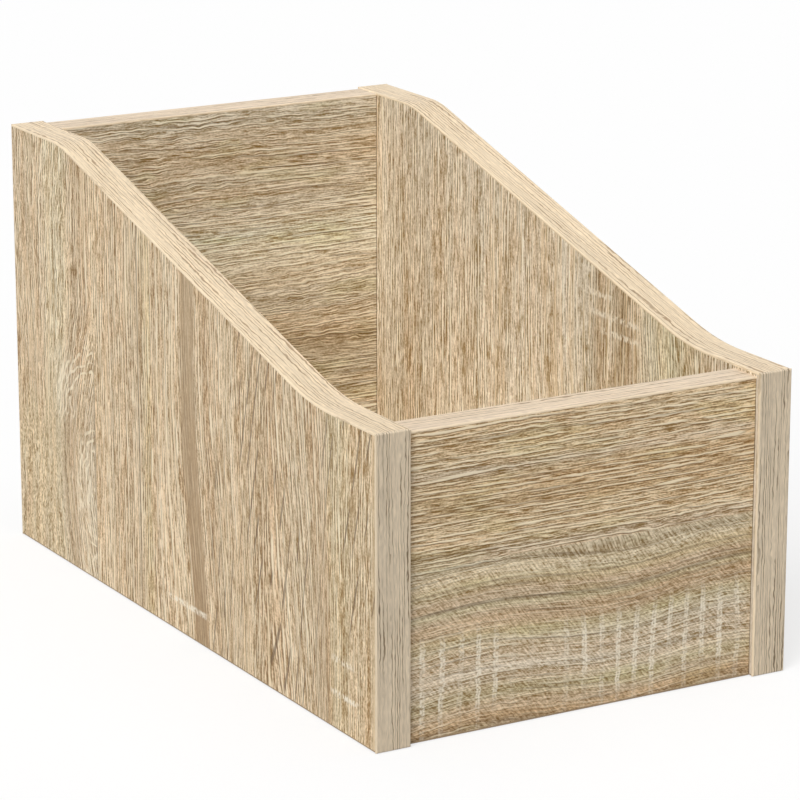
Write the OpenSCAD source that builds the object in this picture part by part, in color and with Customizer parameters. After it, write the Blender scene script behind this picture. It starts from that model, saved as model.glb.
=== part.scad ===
// Open-topped storage box of laminated board: two side panels with a curved top edge,
// a low front panel, a high back panel and a bottom panel raised off the floor.
// Cams, cam bolts and dowels hold the three cross panels between the side panels, and
// every edge that can be seen or touched carries a glued edge band.
// The origin is on the floor under the middle. The front faces -Y, the left side is -X.

/* [Box] */
// Width over both side panels
box_w = 222; // [180:1:400]
// Depth of the side panels, from front edge to back edge
box_d = 378; // [320:1:600]
// Height of the side panels at the back
back_h = 220; // [190:1:380]
// Height of the side panels at the front
front_h = 148; // [120:1:185]

/* [Curved top edge] */
// Level length at the back, up to where the slope would meet it unrounded
back_level = 57; // [40:1:120]
// Level length at the front, up to where the slope would meet it unrounded
front_level = 60; // [45:1:120]
// Radius of the crest, between the back level and the slope
crest_r = 60; // [10:1:150]
// Radius of the hollow, between the slope and the front level
hollow_r = 145; // [10:1:250]

/* [Boards] */
// Thickness of every board
board_t = 18; // [16:1:25]
// Set-back of the front panel from the side panels' front edges
front_inset = 3; // [0:0.5:10]
// Set-back of the back panel from the side panels' back edges
back_inset = 3; // [0:0.5:10]
// Drop from the side panels' front level to the top of the front panel
front_drop = 2; // [0:0.5:15]
// Drop from the side panels' back level to the top of the back panel
back_drop = 0.5; // [0:0.5:15]
// Height of the bottom panel's underside above the floor
bottom_lift = 24; // [4:1:40]

/* [Edge bands] */
// Thickness of the edge bands
band_t = 1; // [0.6:0.1:2]
// Radius milled along the bands' outer edges
band_r = 0.8; // [0.2:0.1:2]

/* [Connector places] */
// Pitch between neighbouring connectors on the front and back panels
hole_pitch = 32; // [20:1:40]
// Middle of the box to each bolt of the bottom panel
bottom_bolt_y = 100; // [50:1:130]
// Middle of the box to each dowel of the bottom panel
bottom_dowel_y = 68; // [10:1:80]

/* [Cams] */
// Diameter of the cams
cam_d = 15; // [14:0.5:18]
// End of the panel to the middle of the cam
cam_reach = 24; // [20:1:34]
// How far a cam goes past the middle of its board
cam_past_middle = 4; // [3.8:0.1:5]
// How far a cam lies below the board's face
cam_sunk = 0.3; // [0:0.1:1]
// Thinnest wall of a cam, at its mouth
cam_wall = 1.6; // [1.2:0.1:2]
// Offset of the cam's round chamber, which draws the bolt in as the cam turns
cam_throw = 0.7; // [0.3:0.1:1]

/* [Cam bolts] */
// Diameter of the screw end
screw_d = 5; // [4:0.5:6]
// Length of the screw end
screw_len = 11; // [8:0.5:12]
// Diameter of the collar, which stops the bolt at the side panel
collar_d = 7.4; // [6.5:0.1:7.8]
// Length of the collar
collar_len = 2.5; // [1:0.5:5]
// Diameter of the shank
shank_d = 6; // [5:0.5:6.5]
// Diameter of the neck, which the cam's slot passes over
neck_d = 4; // [3:0.1:4.4]
// Diameter of the head
head_d = 6.6; // [6:0.1:7]
// Length of the head
head_len = 2.4; // [1.5:0.1:3]
// Diameter of the bore for the bolt in the end of a panel
shank_bore_d = 8; // [8:0.1:9]

/* [Dowels] */
// Diameter of the dowels
dowel_d = 8; // [6:1:10]
// Length of the dowels
dowel_len = 30; // [25:1:40]
// How much of a dowel is in the side panel
dowel_in_side = 12; // [8:1:13]
// Chamfer on the ends of the dowels
dowel_chamfer = 1; // [0.5:0.1:2]

/* [Hidden] */
$fn = 72;
fit = 0.05;              // gap all round a dowel or a screw end in its hole
cam_fit = 0.1;           // gap all round a cam, and between its chamber and the bolt's head
hole_spare = 0.5;        // free length at the bottom of a blind hole
head_room = 0.3;         // gap over the head in a cam's chamber
slot_room = 0.2;         // gap on each side of the neck in a cam's slot
shank_gap = 0.3;         // gap between the end of the shank and the cam's wall
cam_chamfer = 0.4;       // chamfer round the top of a cam
recess_l = 6;            // cross recess in a cam: length, width and depth of its arms
recess_w = 1.3;
recess_depth = 2.6;
tip_len = 1.5;           // taper at the tip of a screw end
past = 1;                // how far a cut runs on past the face it opens in
arc_steps = 8;           // straight steps in the crest and in the hollow
round_steps = 4;         // straight steps in a band's rounded corner

inner_w = box_w - 2 * board_t;
edge_r = min(band_r, band_t - 0.1);
front_edge = -box_d / 2;
back_edge = box_d / 2;

front_face = front_edge + front_inset;
back_face = back_edge - back_inset;
front_top = front_h - front_drop;
back_top = back_h - back_drop;
bottom_top = bottom_lift + board_t;

// The top edge: slope, and the centres of the two arcs that round its ends
slope_a = atan((back_h - front_h) / (box_d - back_level - front_level));
hollow_mid = [front_edge + front_level - hollow_r * tan(slope_a / 2), front_h + hollow_r];
crest_mid = [back_edge - back_level + crest_r * tan(slope_a / 2), back_h - crest_r];

// Cam chamber, and where the bolt's shoulder meets its wall above and below the slot
cam_r = cam_d / 2;
chamber_r = cam_r - cam_wall - cam_throw;
slot_half = neck_d / 2 + slot_room;
head_edge = sqrt(pow(head_d / 2, 2) - pow(slot_half, 2));
shoulder = cam_reach + cam_throw - sqrt(pow(chamber_r, 2) - pow(head_edge, 2)) + cam_fit;
shank_end = cam_reach - cam_r - shank_gap;
// Turn of the slot, from the mouth to just past where the locked bolt's head leaves the wall
head_clear = sqrt(pow(chamber_r, 2) - pow(head_d / 2, 2)) - cam_throw;
slot_turn = 180 + atan2(head_d / 2 + slot_room, head_clear);

// Connector places: name, depth and height of the axis, and the turn that points a cam's
// face inward on the front panel, rearward on the back panel and down on the bottom panel
front_y = front_face + board_t / 2;
back_y = back_face - board_t / 2;
bottom_z = bottom_lift + board_t / 2;
front_mid = (bottom_top + front_top) / 2;
back_mid = (bottom_top + back_top) / 2;
to_rear = -90;
to_floor = 180;

front_bolts = [["front", front_y, front_mid, to_rear]];
back_bolts = [
    ["back_lower", back_y, back_mid - 2 * hole_pitch, to_rear],
    ["back_upper", back_y, back_mid + 2 * hole_pitch, to_rear]
];
bottom_bolts = [
    ["bottom_front", -bottom_bolt_y, bottom_z, to_floor],
    ["bottom_rear", bottom_bolt_y, bottom_z, to_floor]
];
front_dowels = [
    ["front_lower", front_y, front_mid - hole_pitch, to_rear],
    ["front_upper", front_y, front_mid + hole_pitch, to_rear]
];
back_dowels = [
    ["back_lower", back_y, back_mid - hole_pitch, to_rear],
    ["back_upper", back_y, back_mid + hole_pitch, to_rear]
];
bottom_dowels = [
    ["bottom_front", -bottom_dowel_y, bottom_z, to_floor],
    ["bottom_rear", bottom_dowel_y, bottom_z, to_floor]
];
all_bolts = concat(front_bolts, back_bolts, bottom_bolts);
all_dowels = concat(front_dowels, back_dowels, bottom_dowels);

SIDES = ["left", "right"];
function part_name(side, place, what) = str(side, "_", place[0], "_", what);

oak = [0.80, 0.69, 0.52];
pale_oak = [0.91, 0.80, 0.63];
beech = [0.85, 0.70, 0.50];
zinc = [0.72, 0.72, 0.74];
steel = [0.60, 0.60, 0.62];

// ---- The curved top edge ----

// One section of the top edge: [y, z, angle], with the angle that the edge has there
function on_arc(mid, r, a, up) = [mid.x - up * r * sin(a), mid.y + up * r * cos(a), a];

// The whole edge from the front band to the back band: level, hollow, slope, crest, level
function top_sections() = concat(
    [[front_edge + band_t, front_h, 0]],
    [for (i = [0:arc_steps]) on_arc(hollow_mid, hollow_r, slope_a * i / arc_steps, -1)],
    [for (i = [arc_steps:-1:0]) on_arc(crest_mid, crest_r, slope_a * i / arc_steps, 1)],
    [[back_edge - band_t, back_h, 0]]
);

// A section's point that lies a given depth below the edge, square to it
function below(section, depth) =
    [section[0] + depth * sin(section[2]), section[1] - depth * cos(section[2])];

// ---- Edge bands ----

// Quarter round from angle a to a + 90, about a middle point
function quarter(mid, r, a) =
    [for (i = [0:round_steps]) mid + r * [cos(a + 90 * i / round_steps), sin(a + 90 * i / round_steps)]];

// Cross-section of a band: glue face at 0, outer face at band_t, outer corners rounded
function band_section() = concat(
    [[-board_t / 2, 0], [board_t / 2, 0]],
    quarter([board_t / 2 - edge_r, band_t - edge_r], edge_r, 0),
    quarter([edge_r - board_t / 2, band_t - edge_r], edge_r, 90)
);

// Straight band along +X from the origin, glue face down
module straight_band(length) {
    rotate([90, 0, 90])
        linear_extrude(length) polygon(band_section());
}

// Upright band on the floor, glue face toward +Y, its ends rounded over at the corners
module upright_band(height) {
    intersection() {
        mirror([0, 1, 0])
            linear_extrude(height) polygon(band_section());
        rotate([90, 0, 90]) translate([0, 0, -board_t / 2])
            linear_extrude(board_t)
                polygon(concat(
                    [[0, height]],
                    quarter([edge_r - band_t, height - edge_r], edge_r, 90),
                    quarter([edge_r - band_t, edge_r], edge_r, 180),
                    [[0, 0]]
                ));
    }
}

// Band bent over the whole curved edge, as thick there as on the straights
module curved_band() {
    section = band_section();
    rings = top_sections();
    n = len(section);
    points = [for (ring = rings) for (s = section)
        let (p = below(ring, band_t - s.y)) [s.x, p.x, p.y]];
    walls = [for (i = [0:len(rings) - 2]) for (j = [0:n - 1])
        let (a = i * n + j, b = i * n + (j + 1) % n) each [[a, a + n, b], [b, a + n, b + n]]];
    front_end = [[for (j = [0:n - 1]) j]];
    back_end = [[for (j = [n - 1:-1:0]) (len(rings) - 1) * n + j]];
    polyhedron(points, concat(walls, front_end, back_end));
}

// ---- Connectors ----
// Each is drawn about its own axis: the side panel's inner face is at x = 0, the cross
// panel runs to +X, the middle of its board is at z = 0 and the cam's face points to +Z.

module at_joint(side, place) {
    if (side == "left")
        translate([-inner_w / 2, place[1], place[2]])
            rotate([place[3], 0, 0]) children();
    else
        mirror([1, 0, 0])
            translate([-inner_w / 2, place[1], place[2]])
                rotate([place[3], 0, 0]) children();
}

// Round bar or round hole along X
module along_x(d, from, to) {
    translate([from, 0, 0]) rotate([0, 90, 0]) cylinder(d = d, h = to - from);
}

// Steel bolt: screw end, collar, shank, neck and head, turned in one piece
module cam_bolt() {
    color(steel) rotate([0, 90, 0]) rotate_extrude()
        polygon([
            [0, -screw_len],
            [screw_d / 4, -screw_len],
            [screw_d / 2, tip_len - screw_len],
            [screw_d / 2, 0],
            [collar_d / 2, 0],
            [collar_d / 2, collar_len],
            [shank_d / 2, collar_len],
            [shank_d / 2, shank_end],
            [neck_d / 2, shank_end],
            [neck_d / 2, shoulder],
            [head_d / 2, shoulder],
            [head_d / 2, shoulder + head_len / 2],
            [neck_d / 2, shoulder + head_len],
            [0, shoulder + head_len]
        ]);
}

// Cast cam, shown locked: its mouth faces away from the joint, and the slot has turned
// over the bolt's neck so that the off-centre chamber holds the head
module cam() {
    top = board_t / 2 - cam_sunk;
    chamber_top = head_d / 2 + head_room;
    color(zinc) translate([cam_reach, 0, 0]) difference() {
        union() {
            translate([0, 0, -cam_past_middle])
                cylinder(r = cam_r, h = cam_past_middle + top - cam_chamfer);
            translate([0, 0, top - cam_chamfer])
                cylinder(r1 = cam_r, r2 = cam_r - cam_chamfer, h = cam_chamfer);
        }
        // Chamber for the head, open below
        translate([cam_throw, 0, -cam_past_middle - past])
            cylinder(r = chamber_r, h = chamber_top + cam_past_middle + past);
        // Mouth, where the head goes in
        translate([0, -chamber_top, -cam_past_middle - past])
            cube([cam_r + past, 2 * chamber_top, chamber_top + cam_past_middle + past]);
        // Slot through the wall for the neck
        rotate_extrude(angle = slot_turn)
            translate([chamber_r - cam_throw - past, -slot_half])
                square([cam_wall + 2 * cam_throw + 2 * past, 2 * slot_half]);
        // Cross recess for the screwdriver
        for (turn = [0, 90])
            rotate(turn) translate([-recess_l / 2, -recess_w / 2, top - recess_depth])
                cube([recess_l, recess_w, recess_depth + past]);
    }
}

// Beech dowel with chamfered ends
module dowel() {
    r = dowel_d / 2;
    end_r = r - dowel_chamfer;
    color(beech) translate([-dowel_in_side, 0, 0]) rotate([0, 90, 0]) rotate_extrude()
        polygon([
            [0, 0],
            [end_r, 0],
            [r, dowel_chamfer],
            [r, dowel_len - dowel_chamfer],
            [end_r, dowel_len],
            [0, dowel_len]
        ]);
}

// Holes that one side panel needs for every bolt and dowel
module side_holes(side) {
    for (p = all_bolts)
        at_joint(side, p) along_x(screw_d + 2 * fit, -screw_len - hole_spare, past);
    for (p = all_dowels)
        at_joint(side, p) along_x(dowel_d + 2 * fit, -dowel_in_side - hole_spare, past);
}

// Holes that a cross panel needs in both ends, with the cams' bores in its face
module cross_holes(bolts, dowels) {
    for (side = SIDES) {
        for (p = bolts) at_joint(side, p) {
            along_x(shank_bore_d, -past, cam_reach);
            translate([cam_reach, 0, -cam_past_middle - hole_spare])
                cylinder(r = cam_r + cam_fit, h = cam_past_middle + hole_spare + board_t / 2 + past);
        }
        for (p = dowels)
            at_joint(side, p)
                along_x(dowel_d + 2 * fit, -past, dowel_len - dowel_in_side + hole_spare);
    }
}

// ---- Boards ----

// Side panel's board, drawn in by the band's thickness on all four edges
module side_board() {
    outline = concat(
        [[front_edge + band_t, band_t]],
        [for (s = top_sections()) below(s, band_t)],
        [[back_edge - band_t, band_t]]
    );
    rotate([90, 0, 90]) linear_extrude(board_t) polygon(outline);
}

module side_panel(side) {
    color(oak) difference() {
        translate([side == "left" ? -box_w / 2 : inner_w / 2, 0, 0]) side_board();
        side_holes(side);
    }
}

// Puts a side's band on the middle of that side panel's thickness
module on_side(side) {
    translate([(side == "left" ? -1 : 1) * (box_w - board_t) / 2, 0, 0]) children();
}

module side_top_band(side) {
    color(pale_oak) on_side(side) curved_band();
}

module side_front_band(side) {
    color(pale_oak) on_side(side)
        translate([0, front_edge + band_t, 0]) upright_band(front_h);
}

module side_back_band(side) {
    color(pale_oak) on_side(side)
        translate([0, back_edge - band_t, 0]) rotate(180) upright_band(back_h);
}

module side_bottom_band(side) {
    color(pale_oak) on_side(side)
        translate([0, front_edge + band_t, band_t]) rotate([180, 0, 0]) rotate(-90)
            straight_band(box_d - 2 * band_t);
}

// Board between the side panels, standing on its bottom band
module cross_board(face_y, top) {
    translate([-inner_w / 2, face_y, band_t])
        cube([inner_w, board_t, top - 2 * band_t]);
}

module cross_top_band(mid_y, top) {
    color(pale_oak) translate([-inner_w / 2, mid_y, top - band_t]) straight_band(inner_w);
}

module cross_bottom_band(mid_y) {
    color(pale_oak) translate([-inner_w / 2, mid_y, band_t])
        rotate([180, 0, 0]) straight_band(inner_w);
}

module front_panel() {
    color(oak) difference() {
        cross_board(front_face, front_top);
        cross_holes(front_bolts, front_dowels);
    }
}

module back_panel() {
    color(oak) difference() {
        cross_board(back_face - board_t, back_top);
        cross_holes(back_bolts, back_dowels);
    }
}

module bottom_panel() {
    color(oak) difference() {
        translate([-inner_w / 2, front_face + board_t, bottom_lift])
            cube([inner_w, back_face - front_face - 2 * board_t, board_t]);
        cross_holes(bottom_bolts, bottom_dowels);
    }
}

for (side = SIDES) {
    side_panel(side);
    side_top_band(side);
    side_front_band(side);
    side_back_band(side);
    side_bottom_band(side);
}
front_panel();
cross_top_band(front_y, front_top);  // front_panel_top_band
cross_bottom_band(front_y);  // front_panel_bottom_band
back_panel();
cross_top_band(back_y, back_top);  // back_panel_top_band
cross_bottom_band(back_y);  // back_panel_bottom_band
bottom_panel();
for (side = SIDES) {
    for (p = all_bolts) {
        at_joint(side, p) cam();
        at_joint(side, p) cam_bolt();
    }
    for (p = all_dowels)
        at_joint(side, p) dowel();
}
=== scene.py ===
import math

import bmesh
import bpy
from mathutils import Matrix, Vector


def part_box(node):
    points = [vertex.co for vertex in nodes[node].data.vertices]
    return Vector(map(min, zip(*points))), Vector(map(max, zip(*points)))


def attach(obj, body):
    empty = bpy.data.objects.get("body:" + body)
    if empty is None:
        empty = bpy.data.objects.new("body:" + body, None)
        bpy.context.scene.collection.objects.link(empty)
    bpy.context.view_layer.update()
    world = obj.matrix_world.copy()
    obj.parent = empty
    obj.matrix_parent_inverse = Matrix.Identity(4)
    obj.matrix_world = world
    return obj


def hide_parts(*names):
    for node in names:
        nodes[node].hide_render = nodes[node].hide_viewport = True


# Open-topped storage stand of printed oak-look board, with glued edge bands and
# knock-down connectors. Lengths are in metres, colours are 0-255 as on a screen.

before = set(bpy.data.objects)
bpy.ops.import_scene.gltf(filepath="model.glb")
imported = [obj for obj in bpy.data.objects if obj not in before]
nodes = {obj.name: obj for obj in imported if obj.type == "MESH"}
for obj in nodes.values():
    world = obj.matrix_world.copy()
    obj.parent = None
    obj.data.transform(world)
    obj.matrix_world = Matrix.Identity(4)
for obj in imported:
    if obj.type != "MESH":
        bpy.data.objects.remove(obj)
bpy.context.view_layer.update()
scene = bpy.context.scene
print("frame loaded,", len(nodes), "nodes")


# camera: three-quarter view from the left front corner, long lens, no shift
cameraView = {
    "stand": (-0.8959, -1.5688, 0.6031),
    "aim": (0.0069, -0.0060, 0.1035),
    "lens": 170.89,
    "sensor": 36.0,
    "near": 0.05,
    "far": 60,
}


def makeCamera(view):
    lensData = bpy.data.cameras.new("camera")
    lensData.lens = view["lens"]
    lensData.sensor_width = view["sensor"]
    lensData.clip_start = view["near"]
    lensData.clip_end = view["far"]
    camera = bpy.data.objects.new("camera", lensData)
    scene.collection.objects.link(camera)
    stand = Vector(view["stand"])
    camera.location = stand
    camera.rotation_mode = "QUATERNION"
    camera.rotation_quaternion = (Vector(view["aim"]) - stand).to_track_quat("-Z", "Y")
    scene.camera = camera


makeCamera(cameraView)
print("camera placed")


# small helpers for building materials

def paint(red, green, blue):
    # a screen colour as the linear colour that the shaders work in
    def linear(value):
        value /= 255
        return value / 12.92 if value <= 0.04045 else ((value + 0.055) / 1.055) ** 2.4
    return (linear(red), linear(green), linear(blue), 1.0)


def plug(socket, value):
    if isinstance(value, bpy.types.NodeSocket):
        socket.id_data.links.new(value, socket)
    else:
        socket.default_value = value


def put(tree, kind, settings=None, inputs=None):
    made = tree.nodes.new("ShaderNode" + kind)
    for name, value in (settings or {}).items():
        setattr(made, name, value)
    for name, value in (inputs or {}).items():
        plug(made.inputs[name], value)
    return made


def treeOf(*values):
    # the helpers below build in the tree that the sockets given to them come from
    return next(value.id_data for value in values if isinstance(value, bpy.types.NodeSocket))


def calc(operation, *values, clamp=False):
    made = put(treeOf(*values), "Math", {"operation": operation, "use_clamp": clamp})
    for socket, value in zip(made.inputs, values):
        plug(socket, value)
    return made.outputs[0]


def times(first, *others, clamp=False):
    for other in others:
        first = calc("MULTIPLY", first, other, clamp=clamp)
    return first


def plus(first, *others):
    for other in others:
        first = calc("ADD", first, other)
    return first


def minus(first, second):
    return calc("SUBTRACT", first, second)


def offFrom(value, middle):
    return calc("ABSOLUTE", minus(value, middle))


def centred(noise, weight):
    # noise around 0.5 becomes noise around 0
    return times(minus(noise, 0.5), weight)


def spread(value, low, high, to=(0.0, 1.0), kind="SMOOTHSTEP"):
    # maps low..high to the pair given, eased at both ends
    made = put(treeOf(value), "MapRange", {"interpolation_type": kind}, {
        "Value": value, "From Min": low, "From Max": high, "To Min": to[0], "To Max": to[1]})
    return made.outputs["Result"]


def between(value, start, full, last, end):
    # rises from start to full, and falls again from last to end
    return times(spread(value, start, full), spread(value, end, last))


def blendColours(share, first, second, how="MIX"):
    made = put(treeOf(share, first, second), "Mix", {"data_type": "RGBA", "blend_type": how})
    for index, value in ((0, share), (6, first), (7, second)):
        plug(made.inputs[index], value)
    return made.outputs[2]


def tinted(first, second):
    return blendColours(1.0, first, second, "MULTIPLY")


def stretch(vector, scales):
    made = put(treeOf(vector), "VectorMath", {"operation": "MULTIPLY"})
    plug(made.inputs[0], vector)
    plug(made.inputs[1], scales)
    return made.outputs[0]


def cloud(vector, scales, detail=1.0, roughness=0.5):
    # soft noise around 0.5, with so many cells to the metre along each axis
    return put(treeOf(vector), "TexNoise", None, {
        "Vector": stretch(vector, scales), "Scale": 1.0, "Detail": detail,
        "Roughness": roughness}).outputs[0]


def join(x, y, z):
    return put(treeOf(x, y, z), "CombineXYZ", None, {"X": x, "Y": y, "Z": z}).outputs[0]


def split(vector):
    return put(treeOf(vector), "SeparateXYZ", None, {"Vector": vector}).outputs


def rampAlong(position, width, stops):
    # stops: (distance in mm from the first edge, colour), blended from one to the next
    ramp = put(treeOf(position), "ValToRGB")
    elements = ramp.color_ramp.elements
    while len(elements) > 1:
        elements.remove(elements[-1])
    for index, (distance, colour) in enumerate(stops):
        spot = elements[0] if index == 0 else elements.new(distance / 1000 / width)
        spot.position = distance / 1000 / width
        spot.color = (*colour, 1.0)
    plug(ramp.inputs[0], calc("DIVIDE", position, width))
    return ramp.outputs[0]


def startGroup(name, takes, gives):
    group = bpy.data.node_groups.new(name, "ShaderNodeTree")
    kinds = {"vector": "NodeSocketVector", "colour": "NodeSocketColor", "value": "NodeSocketFloat"}
    for label, (kind, value) in takes.items():
        socket = group.interface.new_socket(name=label, in_out="INPUT", socket_type=kinds[kind])
        if value is not None:
            socket.default_value = value
    for label, kind in gives.items():
        group.interface.new_socket(name=label, in_out="OUTPUT", socket_type=kinds[kind])
    taken = group.nodes.new("NodeGroupInput").outputs
    given = group.nodes.new("NodeGroupOutput").inputs
    return group, taken, given


def useGroup(tree, group, inputs):
    made = tree.nodes.new("ShaderNodeGroup")
    made.node_tree = group
    for name, value in inputs.items():
        plug(made.inputs[name], value)
    return made.outputs


def startMaterial(name):
    material = bpy.data.materials.new(name)
    material.use_nodes = True
    tree = material.node_tree
    return material, tree, tree.nodes["Principled BSDF"]


def placeOf(tree):
    return put(tree, "TexCoord").outputs["Object"]


def setSurface(tree, shader, colour, roughness, height, depth):
    tree.links.new(colour, shader.inputs["Base Color"])
    tree.links.new(roughness, shader.inputs["Roughness"])
    bump = put(tree, "Bump", None, {"Strength": 1.0, "Distance": depth, "Height": height})
    tree.links.new(bump.outputs["Normal"], shader.inputs["Normal"])


# the printed oak. Cells are to the metre along the grain, across it and through the board. Pairs
# say between which two values a mark comes into sight, with the range that they stand for if it
# isn't 0 to 1
oakPrint = {
    "dark": (137, 106, 53),
    "light": (248, 228, 200),
    "middleTone": 0.47,
    "roughness": (0.60, 0.46),  # of the dark and the light strokes
    # how the grain strays, in slow bends and quick ones
    "slowCells": (7, 14, 210),
    "slowWander": 0.006,
    "quickCells": (120, 200, 210),
    "quickWander": 0.0012,
    # the strokes, and how much each kind darkens or lightens
    "strokeCells": (40, 1400, 210),
    "strokes": 0.85,
    "hairCells": (120, 2400, 210),
    "hair": 2.4,
    "gritCells": (650, 1300, 210),
    "grit": 0.9,
    "streakCells": (6, 240, 210),
    "streaks": 0.85,
    "crossCells": (150, 1100, 210),
    "crossAngle": 48,  # degrees off the grain
    "crossing": 1.6,
    "fleckCells": (340, 1000, 210),
    "flecks": 1.5,
    "stirCells": (30, 120, 210),
    "stir": (0.35, 0.65, (0.8, 1.15)),  # the plain strokes are stronger here and there
    "cover": 0.9,  # how far crossing strokes take their place
    "fleckCover": 0.7,  # and how far flecks do, next to that
    # threads: long thin pale lines, each with its shadow beside it
    "thread": {"pitch": 0.0021, "cells": (9, 210, 210), "stray": 14, "edge": (0.30, 1.0),
               "breaks": (36, 420, 210), "shown": (0.42, 0.56), "detail": 1.5},
    "threadLight": (255, 242, 215),
    "threadLit": 0.88,
    "threadTint": 0.5,  # how much of the plank's tint they take on
    "threadDark": (113, 84, 36),
    "threadShade": 0.60,
    "relief": 0.0006,  # from a light thread to its shaded side
    "glintEdge": (0.60, 0.72),
    "glint": 0.7,
    # cracks: thin, dark and long, leaning over the grain
    "crack": {"pitch": 0.0065, "cells": (10, 40, 210), "stray": 5, "edge": (0.84, 0.96),
              "breaks": (24, 120, 210), "shown": (0.47, 0.55), "detail": 1},
    "crackDepth": 0.9,
    # curls: a few bright crooked lines
    "curlCells": (50, 375, 210),
    "curlLevel": 0.52,
    "curlEdge": (0.055, 0.015),
    # rings: long pale lines that follow the planks
    "ringCells": (4, 300, 210),
    "ringEdge": (0.05, 0.01),
    "seamEdge": (0.36, 0.54, (0.5, 1.0)),
    "scratchEdge": (0.40, 0.62),
    # the hue strays from streak to streak
    "hueCells": (5, 110, 210),
    "hueEdge": (0.36, 0.64),
    "warmHue": (1.025, 0.990, 0.945),
    "coolHue": (0.975, 1.005, 1.035),
}
# saw marks: pairs of pale lines square to the grain, broken and unevenly spaced
sawMarks = {
    "pitch": 0.0095,
    "pair": 0.07,  # this and what follows in pitches
    "edge": (0.10, 0.02),
    "jitterCells": (22, 12, 210),
    "jitter": 0.9,
    "crookedCells": (22, 320, 210),
    "crooked": 0.25,
    "breakCells": (420, 800, 210),
    "broken": (0.36, 0.56),
    "patchCells": (70, 26, 210),
    "patch": (0.32, 0.52, (0.25, 1.0)),
}
# marks laid over the strokes: how much they cover, and their colour. The joint is painted shadow:
# a dark line standing in for the gap where a panel meets its neighbour
printInks = {
    "rings": (0.50, (240, 215, 175)),
    "cracks": (0.70, (102, 78, 48)),
    "paleSeams": (0.85, (250, 236, 206)),
    "darkSeams": (0.70, (122, 100, 70)),
    "curls": (0.80, (250, 236, 208)),
    "sawMarks": (0.84, (250, 240, 220)),
    "joint": (1.00, (84, 68, 48)),
}


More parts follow.
